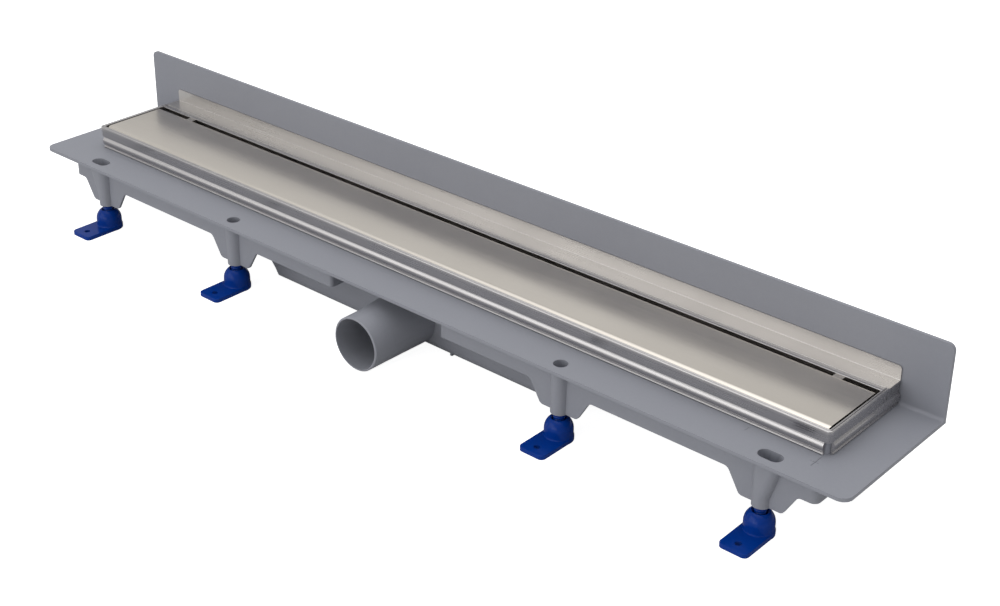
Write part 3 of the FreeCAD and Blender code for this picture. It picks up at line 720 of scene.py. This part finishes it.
# (radius, level) places, from the plate's rim or top and from the mouth's rim
plateRim = ((0.0, -0.4), (-0.2, 0.0))
domeRoot = ((0.1, 0.7), (0.0, 1.6))
mouthLip = ((0.2, 0.0), (0.0, -0.1), (-0.9, -0.8), (-1.3, -3.0))


def makeFootDome():
    half, plate, radius, mouth = foot["half"], foot["plate"], foot["dome"], foot["mouth"]
    top = math.degrees(math.asin((mouth - foot["centre"]) / radius))
    profile = [(0, 0), (half, 0)]
    profile += [(half + out, plate + up) for out, up in plateRim]
    profile += [(radius + out, plate + up) for out, up in domeRoot]
    profile += arc((0, foot["centre"]), radius, 0, top - foot["crownStop"], 12)
    profile += [(foot["mouthRadius"] + out, mouth + up) for out, up in mouthLip]
    profile += [(foot["throat"], foot["throatTop"]), (foot["throat"], foot["throatBottom"]),
                (foot["socket"], foot["socketTop"]), (foot["socket"], foot["socketFloor"]),
                (0, foot["socketFloor"])]
    return toMesh("footDome", lathed(profile, foot["around"]))


def plateOutline(inset):
    half, reach, corner = (foot[label] - inset for label in ("half", "reach", "corner"))
    return rounded([(-half, -reach, corner), (half, -reach, corner), (half, 0, 0), (-half, 0, 0)], 8)


def makeFootPlate():
    edge, top = foot["edge"], foot["plate"]
    wide, narrow = plateOutline(0), plateOutline(edge)
    rings = [(narrow, 0), (wide, edge), (wide, top - edge), (narrow, top)]
    points = [aboutAxis(a, b, level) for ring, level in rings for a, b in ring]
    count = len(wide)
    faces = [tuple(range(count)), tuple(range(4 * count - 1, 3 * count - 1, -1))]
    for near in (0, count, 2 * count):
        for index in range(count):
            after = (index + 1) % count
            faces.append((near + index, near + count + index, near + count + after, near + after))
    drill, drillFaces = lathed([(0, foot["drillBottom"]), (foot["hole"], foot["drillBottom"]),
                                (foot["hole"], foot["drillTop"]), (0, foot["drillTop"])], 32)
    drill = [point + aboutAxis(0, -foot["holeReach"], 0) for point in drill]
    return carved(toMesh("footPlate", (points, faces)), (drill, drillFaces))


# threaded spindles: one round head for the socket, a neck and a right-hand thread

spindle = {"head": 6.0, "headBottom": 7.0, "bevel": 2.4, "headTop": 14.4, "neck": 4.2,
           "threadBottom": 16.5, "top": 57.0, "crest": 5.0, "root": 4.2, "pitch": 2.5,
           "ridgeTop": 1.35, "ridgeFall": 2.7, "around": 32, "rowsPerTurn": 8, "slotWidth": 2.0,
           "slotDepth": 3.0, "slotReach": 8.0, "slotOver": 1.0}


def threadRadius(level, turn):
    phase = (level / spindle["pitch"] - turn) % 1
    ridge = min(1.0, max(0.0, spindle["ridgeTop"] - spindle["ridgeFall"] * abs(phase - 0.5)))
    fromEnd = min(level - spindle["threadBottom"], spindle["top"] - level) / spindle["pitch"]
    ridge *= min(1.0, max(0.0, fromEnd))
    return spindle["root"] + (spindle["crest"] - spindle["root"]) * ridge


def threadRing(level):
    ring = []
    for index in range(spindle["around"]):
        share = index / spindle["around"]
        radius, turn = threadRadius(level, share), 2 * math.pi * share
        ring.append(aboutAxis(radius * math.cos(turn), radius * math.sin(turn), level))
    return ring


def driverSlot():
    half, reach = spindle["slotWidth"] / 2, spindle["slotReach"]
    outline = [(-reach, -half), (reach, -half), (reach, half), (-reach, half)]
    top = spindle["top"]
    return prism(outline, aboutAxis, top - spindle["slotDepth"], top + spindle["slotOver"])


def makeSpindle():
    around = spindle["around"]
    step = spindle["pitch"] / spindle["rowsPerTurn"]
    rows = round((spindle["top"] - spindle["threadBottom"]) / step)
    low = [(0, spindle["headBottom"]), (spindle["head"], spindle["headBottom"]),
           (spindle["head"], spindle["headTop"] - spindle["bevel"]),
           (spindle["neck"], spindle["headTop"]), (spindle["neck"], spindle["threadBottom"])]
    points, faces = lathed(low, around)
    for row in range(rows + 1):
        above = len(points)
        below = above - around
        points += threadRing(spindle["threadBottom"] + row * step)
        for index in range(around):
            after = (index + 1) % around
            faces.append((below + index, below + after, above + after, above + index))
    faces.append(tuple(range(len(points) - around, len(points))))
    return carved(toMesh("spindleThread", (points, faces)), driverSlot())


def setFeet():
    shapes = {"foot": merged(makeFootPlate(), makeFootDome()), "spindle": makeSpindle()}
    for kind, mesh in shapes.items():
        finished(mesh, finishes[kind + "_plastic"])
    for row in ("front", "rear"):
        for number in range(1, 5):
            name = f"{row}_{number}"
            low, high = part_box("spindle_" + name)
            axis = ((low[0] + high[0]) / 2, (low[1] + high[1]) / 2, 0)
            for kind, mesh in shapes.items():
                node = f"{kind}_{name}"
                piece = addPiece(f"{kind}Set_{name}", mesh, node + "_body", node)
                piece.location = axis


setFeet()
print("feet ready")


# floor, light and camera

studio = {"floor": (0.64, 0.64, 0.64), "floorGlow": 0.92, "floorSize": 12.0, "floorRough": 0.9,
          "sky": ((0.0, 0.8), (0.5, 0.8), (0.62, 0.40), (0.68, 0.54), (0.76, 0.80), (0.80, 0.56),
                  (0.87, 0.75), (0.93, 1.5), (1.0, 2.1)), "skyTop": 2.1, "rightShade": 0.70,
          "shadeSpan": (-0.5, 0.7)}
softboxes = {"keySoftbox": {"spot": (-1.9, -4.05, 1.75), "size": (4.0, 3.0), "power": 41.0},
             "frontSoftbox": {"spot": (0.6, -4.5, 1.0), "size": (2.5, 1.5), "power": 20.0}}
photoView = {"lens": 61.475, "sensor": 36.0, "shift": (-0.04094, -0.06339), "near": 0.01,
             "spot": (0.924926, -0.962305, 0.747305), "turn": (64.0323, -1.2766, 40.0628)}


def makeFloor():
    mesh = bpy.data.meshes.new("studioFloor")
    half = studio["floorSize"] / 2
    corners = [(-half, -half, 0), (half, -half, 0), (half, half, 0), (-half, half, 0)]
    mesh.from_pydata(corners, [], [(0, 1, 2, 3)])
    floor = bpy.data.objects.new("studioFloor", mesh)
    bpy.context.scene.collection.objects.link(floor)
    material, tree, shader = newMaterial("studioFloorPaper")
    shader.inputs["Base Color"].default_value = (*studio["floor"], 1.0)
    shader.inputs["Roughness"].default_value = studio["floorRough"]
    shader.inputs["Emission Color"].default_value = (1.0, 1.0, 1.0, 1.0)
    seen = addNode(tree, "ShaderNodeLightPath").outputs["Is Camera Ray"]
    glow = addMath(tree, "MULTIPLY", seen, studio["floorGlow"])
    tree.links.new(glow, shader.inputs["Emission Strength"])
    mesh.materials.append(material)


def makeWorld():
    world = bpy.data.worlds.new("studioWorld")
    bpy.context.scene.world = world
    world.use_nodes = True
    tree = world.node_tree
    tree.nodes.clear()
    output = tree.nodes.new("ShaderNodeOutputWorld")
    back = tree.nodes.new("ShaderNodeBackground")
    tree.links.new(back.outputs[0], output.inputs["Surface"])
    toward = addNode(tree, "ShaderNodeTexCoord").outputs["Generated"]
    split = addNode(tree, "ShaderNodeSeparateXYZ")
    tree.links.new(toward, split.inputs[0])
    height = addRange(tree, split.outputs["Z"], -1.0, 1.0, 0.0, 1.0)
    ramp = addNode(tree, "ShaderNodeValToRGB")
    tree.links.new(height, ramp.inputs[0])
    stops = ramp.color_ramp.elements
    for index, (position, value) in enumerate(studio["sky"]):
        stop = stops[index] if index < 2 else stops.new(position)
        stop.position = position
        stop.color = (value / studio["skyTop"],) * 3 + (1.0,)
    tree.links.new(ramp.outputs[0], back.inputs["Color"])
    across = addRange(tree, split.outputs["X"], *studio["shadeSpan"], 1.0, studio["rightShade"])
    tree.links.new(addMath(tree, "MULTIPLY", across, studio["skyTop"]), back.inputs["Strength"])


def addSoftbox(name, box):
    # turned to the middle of the floor
    light = bpy.data.lights.new(name, "AREA")
    light.shape = "RECTANGLE"
    light.size, light.size_y = box["size"]
    light.energy = box["power"]
    lamp = bpy.data.objects.new(name, light)
    lamp.location = box["spot"]
    lamp.rotation_euler = (-Vector(box["spot"])).to_track_quat("-Z", "Y").to_euler()
    bpy.context.scene.collection.objects.link(lamp)


def makeCamera():
    data = bpy.data.cameras.new("studioCamera")
    data.lens = photoView["lens"]
    data.sensor_width = photoView["sensor"]
    data.shift_x, data.shift_y = photoView["shift"]
    data.clip_start = photoView["near"]
    camera = bpy.data.objects.new("studioCamera", data)
    camera.location = photoView["spot"]
    camera.rotation_euler = [math.radians(v) for v in photoView["turn"]]
    bpy.context.scene.collection.objects.link(camera)
    bpy.context.scene.camera = camera


makeFloor()
makeWorld()
for label, box in softboxes.items():
    addSoftbox(label, box)
makeCamera()
bpy.context.scene.view_settings.view_transform = "Standard"
print("studio ready")
